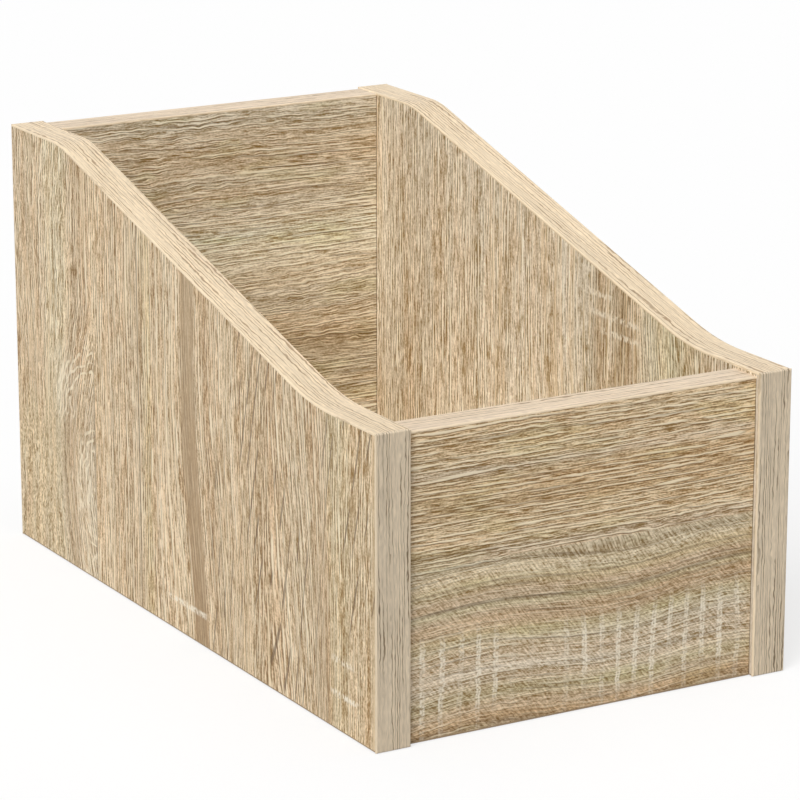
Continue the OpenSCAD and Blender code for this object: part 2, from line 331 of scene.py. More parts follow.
def makeOakPrint(look, saw, inks):
    tree, taken, given = startGroup("oakPrint", {
        "Grain": ("vector", None),
        "Tint": ("colour", (1, 1, 1, 1)),
        "Contrast": ("value", 1.0),
        "Waviness": ("value", 1.0),
        "Rings": ("value", 0.0),
        "Cracks": ("value", 0.0),
        "Crack Lean": ("value", 0.0),
        "Crossing": ("value", 0.0),
        "Flecks": ("value", 0.0),
        "Curls": ("value", 0.0),
        "Saw Marks": ("value", 0.0),
        "Scratch": ("value", 0.0),
        "Seams": ("value", 0.5),  # pale lines above 0.5 and dark ones below it
        # painted shadow along a panel's ends, where it meets its neighbour
        "Joint": ("value", 0.0),
    }, {"Color": "colour", "Roughness": "value", "Height": "value"})
    grain = taken["Grain"]
    along, across, depth = split(grain)

    wander = centred(cloud(grain, look["slowCells"]), look["slowWander"])
    ripple = centred(cloud(grain, look["quickCells"]), look["quickWander"])
    bentAcross = plus(across, times(plus(wander, ripple), taken["Waviness"]))
    bent = join(along, bentAcross, depth)

    strokes = cloud(bent, look["strokeCells"], 2.0, 0.6)
    hair = cloud(bent, look["hairCells"])
    grit = cloud(bent, look["gritCells"])
    streaks = cloud(bent, look["streakCells"], 2)
    flecks = cloud(bent, look["fleckCells"], 1.5)
    # crossing strokes run aslant over the grain, as in the rays of quartered boards
    turned = put(tree, "Mapping", None, {
        "Vector": bent, "Rotation": (0, 0, math.radians(look["crossAngle"]))})
    crossing = cloud(turned.outputs[0], look["crossCells"], 1.5)

    # flecks and crossing strokes take the place of the plain strokes
    cover = times(taken["Flecks"], look["fleckCover"])
    cover = times(calc("MAXIMUM", taken["Crossing"], cover), look["cover"])
    stir = spread(cloud(bent, look["stirCells"]), *look["stir"])
    plainShare = times(minus(1.0, cover), stir)
    plain = plus(centred(strokes, look["strokes"]), centred(hair, look["hair"]))
    crossed = times(centred(crossing, look["crossing"]), taken["Crossing"])
    flecked = times(centred(flecks, look["flecks"]), taken["Flecks"])
    figure = plus(times(plain, plainShare), centred(grit, look["grit"]),
                  centred(streaks, look["streaks"]), plus(crossed, flecked))
    tone = times(figure, taken["Contrast"])
    tone = calc("ADD", tone, look["middleTone"], clamp=True)

    def lines(kind, where, place):
        # lines a pitch apart that stray and break off
        turn = calc("DIVIDE", place, kind["pitch"] / (2 * math.pi))
        stray = times(cloud(where, kind["cells"], kind["detail"]), kind["stray"])
        line = calc("SINE", plus(turn, stray))
        shown = spread(cloud(where, kind["breaks"], kind["detail"]), *kind["shown"])
        return times(spread(line, *kind["edge"]), shown)

    threadShare = times(plainShare, taken["Contrast"])
    lit = times(lines(look["thread"], bent, bentAcross), threadShare, clamp=True)
    besideAcross = plus(bentAcross, look["relief"])
    shaded = lines(look["thread"], join(along, besideAcross, depth), besideAcross)
    shaded = times(shaded, threadShare, clamp=True)
    glint = times(spread(hair, *look["glintEdge"]), threadShare, clamp=True)
    lit = calc("MAXIMUM", lit, times(glint, look["glint"]))

    curl = offFrom(cloud(bent, look["curlCells"], 1.5), look["curlLevel"])
    curl = times(spread(curl, *look["curlEdge"]), taken["Curls"], clamp=True)
    ring = offFrom(cloud(bent, look["ringCells"]), 0.5)
    ring = times(spread(ring, *look["ringEdge"]), taken["Rings"], clamp=True)

    crackAcross = plus(bentAcross, times(along, taken["Crack Lean"]))
    crack = lines(look["crack"], join(along, crackAcross, depth), crackAcross)
    crack = times(crack, taken["Cracks"], clamp=True)

    seamShare = spread(strokes, *look["seamEdge"])
    paleSeam = times(spread(taken["Seams"], 0.5, 1.0), seamShare)
    darkSeam = times(spread(taken["Seams"], 0.5, 0.0), seamShare)

    turns = plus(calc("DIVIDE", along, saw["pitch"]),
                 times(cloud(grain, saw["jitterCells"]), saw["jitter"]),
                 times(cloud(grain, saw["crookedCells"]), saw["crooked"]))
    offPair = offFrom(offFrom(calc("FRACT", turns), 0.5), saw["pair"])
    broken = spread(cloud(grain, saw["breakCells"], 2), *saw["broken"])
    patch = spread(cloud(grain, saw["patchCells"]), *saw["patch"])
    sawn = times(spread(offPair, *saw["edge"]), broken, patch)
    sawn = times(sawn, taken["Saw Marks"], clamp=True)
    scratch = times(spread(flecks, *look["scratchEdge"]), taken["Scratch"])

    colour = blendColours(tone, paint(*look["dark"]), paint(*look["light"]))
    shaded = times(shaded, look["threadShade"])
    colour = blendColours(shaded, colour, paint(*look["threadDark"]))
    colour = tinted(colour, taken["Tint"])
    hue = spread(cloud(bent, look["hueCells"], 1.5), *look["hueEdge"])
    hue = blendColours(hue, (*look["warmHue"], 1.0), (*look["coolHue"], 1.0))
    colour = tinted(colour, hue)
    pale = blendColours(look["threadTint"], (1, 1, 1, 1), taken["Tint"])
    pale = tinted(paint(*look["threadLight"]), pale)
    colour = blendColours(times(lit, look["threadLit"]), colour, pale)
    marks = {
        "rings": ring, "cracks": crack, "paleSeams": paleSeam, "darkSeams": darkSeam,
        "curls": curl, "sawMarks": calc("MAXIMUM", sawn, scratch), "joint": taken["Joint"],
    }
    for name, mark in marks.items():
        share, ink = inks[name]
        colour = blendColours(times(mark, share), colour, paint(*ink))
    tree.links.new(colour, given["Color"])
    rough = spread(tone, 0.0, 1.0, look["roughness"], "LINEAR")
    tree.links.new(rough, given["Roughness"])
    height = minus(tone, times(crack, look["crackDepth"]))
    tree.links.new(height, given["Height"])
    return tree


oakPrintGroup = makeOakPrint(oakPrint, sawMarks, printInks)

# the raw board inside the holes: pressed chips
chipCore = {
    "chipCells": 620,
    "flatness": (1, 1, 1.6),
    "dark": (150, 118, 78),
    "light": (214, 186, 140),
}


def makeChipCore(look):
    tree, taken, given = startGroup("chipCore", {"Place": ("vector", None)}, {"Color": "colour"})
    chips = put(tree, "TexVoronoi", None, {"Scale": look["chipCells"]})
    plug(chips.inputs["Vector"], stretch(taken["Place"], look["flatness"]))
    shade = split(chips.outputs["Color"])[0]
    colour = blendColours(shade, paint(*look["dark"]), paint(*look["light"]))
    tree.links.new(colour, given["Color"])
    return tree


chipCoreGroup = makeChipCore(chipCore)
print("board groups built")


# tints that the print is multiplied with, plank by plank
tints = {
    "plain": (1.00, 0.99, 0.97),
    "tan": (0.94, 0.90, 0.85),
    "pale": (1.05, 1.05, 1.05),
    "cream": (1.12, 1.12, 1.10),
    "olive": (0.94, 0.965, 0.84),
    "greenGrey": (1.10, 1.20, 1.25),
    "cool": (1.06, 1.10, 1.16),
    "grey": (0.82, 0.86, 0.84),
    "warm": (0.88, 0.78, 0.64),
    "ochre": (0.93, 0.83, 0.66),
    "sand": (1.03, 0.96, 0.82),
    "brown": (0.72, 0.66, 0.57),
    "stripe": (0.65, 0.56, 0.44),
    "wash": (1.07, 1.12, 1.10),
    "red": (0.94, 0.88, 0.80),
    "line": (0.50, 0.46, 0.38),
}


def plankTints(position, planks, width):
    # planks: (distance in mm from the first edge, tint)
    return rampAlong(position, width, [(where, tints[tint]) for where, tint in planks])


boardSkin = {
    "edge": (0.00015, 0.0003),  # under a broad face, where the print gives way to chips
    "pore": 0.00006,
    "coat": 0.05,
    "coatRoughness": 0.4,
}


def finishBoard(tree, shader, printed, place, node, axis, skin):
    # print only on the two broad faces; between them the holes show the pressed chips
    low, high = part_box(node)
    value = split(place)[axis]
    under = calc("MINIMUM", minus(value, low[axis]), minus(high[axis], value))
    core = useGroup(tree, chipCoreGroup, {"Place": place})
    colour = blendColours(spread(under, *skin["edge"]), printed["Color"], core["Color"])
    setSurface(tree, shader, colour, printed["Roughness"], printed["Height"], skin["pore"])
    shader.inputs["Coat Weight"].default_value = skin["coat"]
    shader.inputs["Coat Roughness"].default_value = skin["coatRoughness"]


def assign(node, material):
    for slot in nodes[node].material_slots:
        slot.material = material


# side panels: the grain stands upright, and each face is one stretch of the print
sidePrint = {
    "leftOutside": [
        (0, "tan"), (24, "plain"), (34, "pale"), (40, "greenGrey"), (54, "greenGrey"),
        (60, "wash"), (67, "plain"), (72, "tan"), (88, "tan"), (91, "cream"), (108, "pale"),
        (126, "plain"), (144, "tan"), (154, "olive"), (158, "plain"),
        (165, "pale"), (185, "pale"), (189.5, "stripe"), (199, "stripe"),
        (203.5, "pale"), (214, "tan"), (228, "plain"), (240, "pale"), (262, "plain"),
        (276, "tan"), (284, "pale"), (298, "pale"), (318, "tan"),
        (328, "tan"), (333, "wash"), (350, "wash"), (354, "cream"),
    ],
    "rightInside": [
        (0, "plain"), (60, "tan"), (90, "plain"), (150, "pale"), (210, "pale"), (232, "plain"),
        (238, "brown"), (246, "tan"), (250, "pale"), (256, "brown"), (266, "brown"),
        (270, "tan"), (300, "olive"), (340, "tan"), (378, "tan"),
    ],
    "others": [
        (0, "tan"), (20, "plain"), (52, "pale"), (80, "olive"), (96, "plain"), (128, "brown"),
        (138, "tan"), (160, "plain"), (196, "cream"), (224, "plain"), (246, "greenGrey"),
        (262, "plain"), (300, "tan"), (318, "pale"), (350, "plain"), (378, "tan"),
    ],
}
# places are measured from the back edge. Two numbers say where something comes into sight, with
# the range that they stand for if it isn't 0 to 1. Four say where it starts, is full and ends
sideLook = {
    "outside": (0.985, 0.935, 0.85),  # a warmer tint fitted to the left side's outer face; the shaded right side is left without it and shows lighter, which is partly painted light
    # the inner faces are lightened against the shade inside the box: painted light
    "inside": (1.17, 1.27, 1.43),
    "sliver": (1.15, 1.30, 1.60),  # painted light: lighter and cooler on the strips in front of the front panel
    "wobbleCells": (200, 20, 9),
    "wobble": 0.006,  # how far the planks' edges stray
    "contrast": (1.35, 1.08),  # outside and inside
    "sliverContrast": (0.4, 1.0),
    "softer": (0.190, 0.240, (1.0, 0.86)),
    "waviness": 0.3,
    "crooked": (0.100, 0.060, (0.0, 2.0)),
    "crackCells": (200, 14, 8),
    "cracked": (0.36, 0.50),
    "crackPlace": (0.205, 0.225),
    "crackLean": -0.17,
    "crossing": 0.05,
    "ringCells": (200, 17, 3),
    "ringed": (0.46, 0.58),
    "along": 1.3,  # the print is shorter along the grain than on the front
    "across": 0.82,  # and broader across it
}
# below mid height the planks in front of the middle lean forward, and near the front edge they
# fan out: heights between which they do, how far they get, and where
sideLeans = [
    {"heights": (0.135, -0.010, (0.0, 0.014)), "place": (0.150, 0.200, 0.225, 0.262)},
    {"heights": (0.150, 0.000, (0.0, 0.017), "LINEAR"), "place": (0.262, 0.302, 0.318, 0.344)},
]
# beside a plank joint at the back of the left side the grain swings aside and back
sideKnot = {
    "joint": 0.092,  # from the back edge to the plank joint
    "jointEdge": (0.0012, 0.0002),
    "jointShadow": 0.35,
    "start": 0.010,  # where the grain begins to swing
    "swing": 0.026,  # how far it has gone aside at the joint
    "top": 0.150,  # heights between which it swings
    "middle": 0.060,
    "bottom": -0.050,
    "blur": (0.125, 0.100),  # heights over which the joint fades out upwards
    "fleckHeight": (0.110, 0.060),
    "fleckPlace": (0.090, 0.035, (0.2, 0.9)),
    "curlPlace": (0.040, 0.048, 0.066, 0.074),
    "curlHeight": (0.072, 0.084, 0.104, 0.118),
    "lowCurlPlace": (0.066, 0.074),
    "lowCurlHeight": (0.078, 0.066),
    "washHeight": (0.105, 0.070),
    "washPlace": (0.065, 0.040),
    "washCells": (200, 45, 30),
    "washed": (0.38, 0.55, (0.3, 1.0)),
    "shadeHeight": (0.115, 0.085),
    "shadePlace": (0.040, 0.060),
    "shade": (0.88, 0.89, 0.90),
}
# flecks in the low corner at the front of the left side
frontFlecks = {"place": (0.328, 0.338), "height": (0.072, 0.050, (0.0, 0.6))}
# hardly a stroke shows in the brown plank, which pales upwards
calmPlank = {"middle": 0.1945, "edge": (0.0090, 0.0050), "pale": (0.050, 0.180, (0.0, 0.55)),
             "strokes": (1.0, 0.0, (0.3, 1.0))}
# rubbed lines square to the grain: height, from and to, measured from the back edge
rubbed = {
    "leftOutside": [(0.016, 0.168, 0.217), (0.0175, 0.332, 0.364), (0.034, 0.334, 0.360)],
    "rightInside": [(0.1675, 0.220, 0.237), (0.1565, 0.219, 0.256), (0.147, 0.229, 0.279),
                    (0.139, 0.238, 0.279)],
    "edge": (0.0022, 0.0006),
    "fade": 0.008,  # at both ends of a line
}
# single lines on the left side's outer face: mm from the back edge, and 1 for the palest,
# -1 for the darkest
sideSeams = {
    "lines": [
        (113, -0.5), (142.5, -0.9), (163, 0.7), (171.5, 0.9), (180, 0.6), (212, -0.7),
        (284, 0.7), (292, 0.8), (300, 0.8), (309, 0.7),
    ],
    "half": 1.4,  # mm, from a line's middle to its edge
    "shadow": 0.35,
    "shadowOff": 0.0019,  # from a pale line to its shadow
}
# pale arcs round a knot that the plank joint cuts through
sideEye = {
    "centre": (0.093, 0.048),  # from the back edge, and its height
    "stretch": 1.3,  # height to width
    "pitch": 0.0038,
    "edge": (0.25, 0.92),
    "near": (0.007, 0.010, 0.023, 0.027),
    "far": (0.041, 0.045, 0.055, 0.059),
    "farAbove": (0.068, 0.080),
    "strayCells": (200, 70, 70),
    "stray": 0.007,
    "breakCells": (200, 110, 110),
    "broken": (0.40, 0.52),
    "strength": 0.40,
}


def eyeArcs(fromBack, z, left, eye):
    aside = minus(fromBack, eye["centre"][0])
    above = calc("DIVIDE", minus(z, eye["centre"][1]), eye["stretch"])
    off = calc("SQRT", plus(times(aside, aside), times(above, above)))
    place = join(0.0, fromBack, z)
    stray = centred(cloud(place, eye["strayCells"]), eye["stray"])
    turn = calc("DIVIDE", plus(off, stray), eye["pitch"] / (2 * math.pi))
    line = spread(calc("SINE", turn), *eye["edge"])
    broken = spread(cloud(place, eye["breakCells"]), *eye["broken"])
    far = times(between(off, *eye["far"]), spread(z, *eye["farAbove"]))
    shown = calc("MAXIMUM", between(off, *eye["near"]), far)
    return times(line, broken, times(shown, left), eye["strength"])


def swungGrain(fromBack, z, flow, knot):
    # gives the place across the grain, and the shares of flecks, curls, joint, wash and shade
    joint = knot["joint"]
    shown = spread(z, *knot["blur"])
    left = times(spread(fromBack, joint + 0.0006, joint - 0.0006), shown)
    heights = calc("MINIMUM", spread(z, knot["top"], knot["middle"]),
                   spread(z, knot["bottom"], knot["middle"]))
    swing = times(heights, knot["swing"], spread(fromBack, knot["start"], joint),
                  spread(fromBack, joint + 0.001, joint - 0.001))

    flecks = times(spread(z, *knot["fleckHeight"]), spread(fromBack, *knot["fleckPlace"]), left)
    lowFront = times(spread(fromBack, *frontFlecks["place"]), spread(z, *frontFlecks["height"]))
    upper = times(between(fromBack, *knot["curlPlace"]), between(z, *knot["curlHeight"]))
    lower = times(spread(fromBack, *knot["lowCurlPlace"]), left,
                  spread(z, *knot["lowCurlHeight"]))
    off = offFrom(fromBack, joint - 0.0006)
    wash = times(spread(z, *knot["washHeight"]), spread(fromBack, *knot["washPlace"]))
    # between them the planks are shaded up to the joint
    shade = times(spread(z, *knot["shadeHeight"]), spread(fromBack, *knot["shadePlace"]), left)
    return (plus(flow, swing), calc("MAXIMUM", flecks, lowFront), calc("MAXIMUM", upper, lower),
            times(spread(off, *knot["jointEdge"]), shown), wash, shade)


def seamLines(position, seams, width):
    stops = [(0, (0.5, 0.5, 0.5))]
    for middle, strength in seams["lines"]:
        for off, height in ((-seams["half"], 0.0), (0.0, strength), (seams["half"], 0.0)):
            stops.append((middle + off, (0.5 + height / 2,) * 3))
    return split(rampAlong(position, width, stops))[0]


def rubbedLines(fromBack, z, lines):
    fade = rubbed["fade"]
    shown = 0.0
    for height, start, end in lines:
        line = times(spread(offFrom(z, height), *rubbed["edge"]),
                     between(fromBack, start, start + fade, end - fade, end))
        shown = calc("MAXIMUM", shown, line)
    return shown


def makeSideMaterial(name, node, outside, inside, look, knot=None):
    material, tree, shader = startMaterial(name)
    place = placeOf(tree)
    x, y, z = split(place)
    low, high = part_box(node)
    fromBack = minus(high[1], y)
    depth = high[1] - low[1]
    middle = (low[0] + high[0]) / 2
    onRight = calc("GREATER_THAN", x, middle)
    onLeft = minus(1.0, onRight)
    faceInside, faceOutside = (onRight, onLeft) if middle < 0 else (onLeft, onRight)

    leans = [times(spread(z, *lean["heights"]), between(fromBack, *lean["place"]))
             for lean in sideLeans]
    flow = minus(fromBack, plus(*leans))
    flecks, curls, seams = 0.0, 0.0, 0.5
    if knot:
        # each pale seam has its shadow behind it
        seams = seamLines(flow, sideSeams, depth)
        beside = seamLines(plus(flow, sideSeams["shadowOff"]), sideSeams, depth)
        seams = minus(seams, spread(beside, 0.5, 1.0, (0.0, sideSeams["shadow"])))
        flow, flecks, curls, joint, wash, shade = swungGrain(fromBack, z, flow, knot)
        seams = minus(seams, times(joint, knot["jointShadow"]))
        beforeJoint = spread(fromBack, knot["joint"], knot["joint"] - 0.001)
        seams = plus(seams, eyeArcs(fromBack, z, beforeJoint, sideEye))
        scratch = rubbedLines(fromBack, z, rubbed["leftOutside"])
        scratch = times(scratch, faceOutside)
    else:
        scratch = rubbedLines(fromBack, z, rubbed["rightInside"])
        scratch = times(scratch, faceInside)

    wobble = centred(cloud(place, look["wobbleCells"]), look["wobble"])
    plank = plus(flow, wobble)
    tintOut = plankTints(plank, outside, depth)
    tintIn = plankTints(plank, inside, depth)
    if knot:
        washed = spread(cloud(place, knot["washCells"]), *knot["washed"])
        washed = times(wash, washed)
        tintOut = blendColours(washed, tintOut, (*tints["wash"], 1.0))
        tintOut = blendColours(shade, tintOut, (*knot["shade"], 1.0), "MULTIPLY")
        offCalm = offFrom(plank, calmPlank["middle"])
        calm = spread(offCalm, *calmPlank["edge"])
        paler = times(calm, spread(z, *calmPlank["pale"]))
        tintOut = blendColours(paler, tintOut, (*tints["plain"], 1.0))
        # only the left side's outer face takes this tint; the right side, which lies in shade,
        # shows lighter without it: partly painted light
        tintOut = tinted(tintOut, (*look["outside"], 1.0))
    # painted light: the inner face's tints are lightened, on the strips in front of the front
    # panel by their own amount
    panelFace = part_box("front_panel")[0][1]
    within = spread(y, panelFace, panelFace + 0.001)
    lift = blendColours(within, (*look["sliver"], 1.0), (*look["inside"], 1.0))
    tintIn = tinted(tintIn, lift)

    cracked = times(spread(cloud(place, look["crackCells"]), *look["cracked"]),
                    spread(fromBack, *look["crackPlace"]), faceOutside)
    rings = spread(cloud(place, look["ringCells"]), *look["ringed"])
    contrast = times(spread(faceInside, 0, 1, look["contrast"]),
                     spread(within, 0, 1, look["sliverContrast"]))
    waviness = look["waviness"]
    if knot:
        # the grain is crooked near the back edge, and the strokes are softer towards the front
        crooked = times(faceOutside, spread(fromBack, *look["crooked"]))
        waviness = plus(crooked, waviness)
        calmed = spread(times(calm, faceOutside), *calmPlank["strokes"])
        rings = times(rings, calmed)
        contrast = times(contrast, calmed, spread(fromBack, *look["softer"]))
    printed = useGroup(tree, oakPrintGroup, {
        "Grain": join(times(z, look["along"]), times(flow, look["across"]), x),
        "Tint": blendColours(faceInside, tintOut, tintIn), "Contrast": contrast,
        "Waviness": waviness, "Rings": rings, "Cracks": cracked, "Crack Lean": look["crackLean"],
        "Crossing": look["crossing"], "Flecks": flecks, "Curls": curls, "Scratch": scratch,
        "Seams": seams,
    })
    finishBoard(tree, shader, printed, place, node, 0, boardSkin)
    return material


assign("left_side_panel", makeSideMaterial(
    "leftSidePrint", "left_side_panel", sidePrint["leftOutside"], sidePrint["others"], sideLook,
    sideKnot))
assign("right_side_panel", makeSideMaterial(
    "rightSidePrint", "right_side_panel", sidePrint["others"], sidePrint["rightInside"],
    sideLook))
print("side panels finished")


# cross panels: the grain lies level on the front and back, and runs front to back on the bottom
crossPrint = {
    "front": [
        (0, "brown"), (3, "warm"), (8, "tan"), (14, "olive"), (21, "cool"), (33, "cool"),
        (43, "olive"), (48, "tan"), (53, "red"), (56, "olive"), (58, "line"), (58.8, "red"),
        (62, "tan"), (66, "olive"), (66.7, "line"), (67.4, "olive"), (70.5, "wash"),
        (74.2, "wash"), (74.8, "grey"), (79.2, "grey"), (79.8, "tan"), (83, "tan"),
        (87, "sand"), (97, "sand"), (103, "ochre"), (118, "ochre"),
        (122, "tan"), (127, "sand"), (146, "sand"),
    ],
    "back": [
        (0, "tan"), (24, "olive"), (40, "pale"), (60, "plain"), (88, "brown"), (96, "tan"),
        (120, "plain"), (150, "greenGrey"), (162, "plain"), (190, "tan"), (219, "plain"),
    ],
    "bottom": [
        (0, "plain"), (30, "tan"), (56, "olive"), (74, "plain"), (104, "brown"), (112, "plain"),
        (150, "pale"), (186, "tan"),
    ],
}
crossLook = {
    "inside": (1.12, 1.22, 1.36),  # the faces inside the box are lightened: painted light against the shade inside the box
    "wobbleCells": (16, 26, 200),
    "wobble": 0.003,
    "blotCells": (20, 75, 200),
    "blots": (0.54, 0.66, (0.0, 0.7)),
    "contrast": (1.5, 1.05),  # outside and inside
    "wavyCells": (9, 18, 200),
    "waviness": (0.45, 0.60, (0.6, 2.2)),
    "rings": 0.15,
    "cracks": 0.5,
    "crackLean": 0.03,
    "crossing": 0.05,
    # joint: painted shadow, a dark line along the panel's ends where they meet the side panels
    "joint": (0.0006, 0.0002, (0.0, 0.8)),
}
# under the front panel's plank joint the rings rise and fall along the board
frontWave = {"height": 0.0022, "length": 0.134, "start": -0.0865, "joint": 0.080, "fade": 0.006}
# there are crossing strokes in the grey plank under the joint, flecks and saw marks below it
frontLow = {
    "grey": (0.0736, 0.0750, 0.0795, 0.0805),
    "greyFade": (-0.075, 0.005, (0.35, 1.0)),
    "below": (0.0750, 0.0736),
    "contrast": (1.0, 0.86),
    "crossing": (0.042, 0.052, (0.62, 0.75)),
    "flecks": (0.058, 0.042, (0.1, 0.4)),
    "sawTop": (0.051, 0.037),
    "sawBottom": (0.004, 0.014, (0.3, 1.0)),
    "sawGap": -0.027,  # along the board, where the saw marks leave off
    "sawGapEdge": (0.010, 0.024, (0.15, 1.0)),
}


def lowInputs(along, height, contrast, low):
    grey = times(between(height, *low["grey"]), spread(along, *low["greyFade"]))
    below = spread(height, *low["below"])
    crossing = times(below, spread(height, *low["crossing"]))
    gap = offFrom(along, low["sawGap"])
    return {
        "Contrast": times(spread(below, 0.0, 1.0, low["contrast"]), contrast),
        "Crossing": calc("MAXIMUM", grey, crossing),
        "Flecks": times(below, spread(height, *low["flecks"])),
        "Saw Marks": times(spread(height, *low["sawTop"]), spread(gap, *low["sawGapEdge"]),
                           spread(height, *low["sawBottom"])),
    }


def makeCrossMaterial(name, node, planks, order, inner, look, wave=None, low=None):
    # order: which of x, y and z runs along the grain, across it and through the board
    # inner: on which side of the board's middle the face inside the box lies
    material, tree, shader = startMaterial(name)
    place = placeOf(tree)
    sides = split(place)
    start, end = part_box(node)
    along, across, through = (sides[index] for index in order)
    fromLow = minus(across, start[order[1]])
    if wave:
        turn = times(minus(along, wave["start"]), 2 * math.pi / wave["length"])
        under = spread(fromLow, wave["joint"], wave["joint"] - wave["fade"])
        rise = times(calc("SINE", turn), wave["height"], under)
        across = minus(across, rise)
        fromLow = minus(fromLow, rise)
    grain = join(along, across, through)

    wobble = centred(cloud(grain, look["wobbleCells"]), look["wobble"])
    reach = end[order[1]] - start[order[1]]
    tint = plankTints(plus(fromLow, wobble), planks, reach)
    blot = spread(cloud(grain, look["blotCells"]), *look["blots"])
    tint = blendColours(blot, tint, (*tints["olive"], 1.0), "MULTIPLY")
    # painted light: the face inside the box is lightened
    faceInside = calc(inner, through, (start[order[2]] + end[order[2]]) / 2)
    tint = blendColours(faceInside, tint, (*look["inside"], 1.0), "MULTIPLY")
    fromSide = minus(end[0], calc("ABSOLUTE", sides[0]))
    contrast = spread(faceInside, 0, 1, look["contrast"])
    # the joint share paints shadow along the panel's ends
    inputs = {
        "Grain": grain, "Tint": tint, "Contrast": contrast,
        "Waviness": spread(cloud(grain, look["wavyCells"]), *look["waviness"]),
        "Rings": look["rings"], "Cracks": look["cracks"], "Crack Lean": look["crackLean"],
        "Crossing": look["crossing"], "Joint": spread(fromSide, *look["joint"]),
    }
    if low:
        inputs.update(lowInputs(along, fromLow, contrast, low))
    printed = useGroup(tree, oakPrintGroup, inputs)
    finishBoard(tree, shader, printed, place, node, order[2], boardSkin)
    return material


assign("front_panel", makeCrossMaterial(
    "frontPrint", "front_panel", crossPrint["front"], (0, 2, 1), "GREATER_THAN", crossLook,
    frontWave, frontLow))
assign("back_panel", makeCrossMaterial(
    "backPrint", "back_panel", crossPrint["back"], (0, 2, 1), "LESS_THAN", crossLook))
assign("bottom_panel", makeCrossMaterial(
    "bottomPrint", "bottom_panel", crossPrint["bottom"], (1, 0, 2), "GREATER_THAN", crossLook))
print("cross panels finished")


# edge bands: straight lines that run the length of the strip
bandPrint = {
    "warpCells": (6, 200, 2),
    "warp": 0.0060,
    "rippleCells": (170, 500, 2),
    "ripple": 0.0016,
    "faintCells": (24, 420, 2),
    "faint": (0.32, 0.6, (0.1, 1.0)),
    "lineEdge": (0.40, 0.98),
    "hairCells": (200, 2000, 2),
    "hair": 0.60,
    "patchCells": (9, 150, 2),
    "patch": 0.24,
    "base": 0.58,
    "roughness": (0.42, 0.56),
}


def makeBandPrint(look):
    tree, taken, given = startGroup("bandPrint", {
        "Grain": ("vector", None),
        "Ground": ("colour", (0.8, 0.7, 0.5, 1)),
        "Line": ("colour", (0.5, 0.4, 0.3, 1)),
        "Amount": ("value", 1.0),
        "Pitch": ("value", 0.0022),
    }, {"Color": "colour", "Roughness": "value", "Height": "value"})
    along, across, depth = split(taken["Grain"])
    warp = centred(cloud(taken["Grain"], look["warpCells"], 1.5), look["warp"])
    ripple = centred(cloud(taken["Grain"], look["rippleCells"]), look["ripple"])
    bentAcross = plus(across, plus(warp, ripple))
    bent = join(along, bentAcross, depth)
    turn = calc("DIVIDE", times(bentAcross, 2 * math.pi), taken["Pitch"])
    faint = spread(cloud(bent, look["faintCells"]), *look["faint"])
    line = times(spread(calc("SINE", turn), *look["lineEdge"]), faint)
    share = times(line, taken["Amount"], clamp=True)
    colour = blendColours(share, taken["Ground"], taken["Line"])
    hair = cloud(bent, look["hairCells"])
    patch = cloud(bent, look["patchCells"])
    shade = plus(times(hair, look["hair"]), times(patch, look["patch"]), look["base"])
    colour = tinted(colour, join(shade, shade, shade))
    tree.links.new(colour, given["Color"])
    tree.links.new(spread(hair, 0, 1, look["roughness"], "LINEAR"), given["Roughness"])
    tree.links.new(minus(hair, share), given["Height"])
    return tree


bandPrintGroup = makeBandPrint(bandPrint)

bandLooks = {
    "top": {"ground": (230, 209, 177), "line": (154, 124, 88), "amount": 0.9, "slant": 0.012,
            "pitch": 0.0019},
    "rail": {"ground": (227, 206, 179), "line": (152, 126, 93), "amount": 1.0, "slant": 0.008,
             "pitch": 0.0022},
    "front": {"ground": (220, 202, 175), "line": (122, 103, 76), "amount": 1.0, "slant": 0.0,
              "pitch": 0.0016},
    "back": {"ground": (226, 202, 165), "line": (170, 140, 102), "amount": 0.8, "slant": 0.006,
             "pitch": 0.0022},
    # the bottom bands, their milled corner too, are darker: painted shadow along the floor
    "bottom": {"ground": (164, 138, 104), "line": (120, 98, 70), "amount": 0.8, "slant": 0.006,
               "pitch": 0.0022, "body": (164, 138, 104)},
}
# the milled corner cuts into the band's paler body, between these distances from its edges; this
# pale line stands partly for the body and partly for painted highlight along the rounded edge
bandCornerAndHighlight = {"body": (236, 216, 184), "edge": (0.0009, 0.0004), "share": 0.55, "pore": 0.00003}


def makeBandMaterial(name, node, look, order, cut):
    material, tree, shader = startMaterial(name)
    sides = split(placeOf(tree))
    low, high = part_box(node)
    along, across, through = (sides[index] for index in order)
    slant = plus(across, times(along, look["slant"]))
    printed = useGroup(tree, bandPrintGroup, {
        "Grain": join(along, slant, through),
        "Ground": paint(*look["ground"]), "Line": paint(*look["line"]), "Amount": look["amount"],
        "Pitch": look["pitch"],
    })
    off = offFrom(across, (low[order[1]] + high[order[1]]) / 2)
    half = (high[order[1]] - low[order[1]]) / 2
    start, full = cut["edge"]
    # the pale line along the band's edges: partly its body, partly painted highlight
    corner = spread(off, half - start, half - full, (0.0, cut["share"]))
    body = look.get("body", cut["body"])
    colour = blendColours(corner, printed["Color"], paint(*body))
    setSurface(tree, shader, colour, printed["Roughness"], printed["Height"], cut["pore"])
    return material


bandOrders = {"top": (1, 0, 2), "front": (2, 0, 1), "back": (2, 0, 1), "bottom": (1, 0, 2)}
for side in ("left", "right"):
    for edge, order in bandOrders.items():
        node = side + "_" + edge + "_band"
        assign(node, makeBandMaterial(
            side + edge.title() + "Band", node, bandLooks[edge], order, bandCornerAndHighlight))
for panel in ("front_panel", "back_panel"):
    for edge, look in (("top", "rail"), ("bottom", "bottom")):
        node = panel + "_" + edge + "_band"
        assign(node, makeBandMaterial(
            node.replace("_", ""), node, bandLooks[look], (0, 1, 2), bandCornerAndHighlight))
print("edge bands finished")


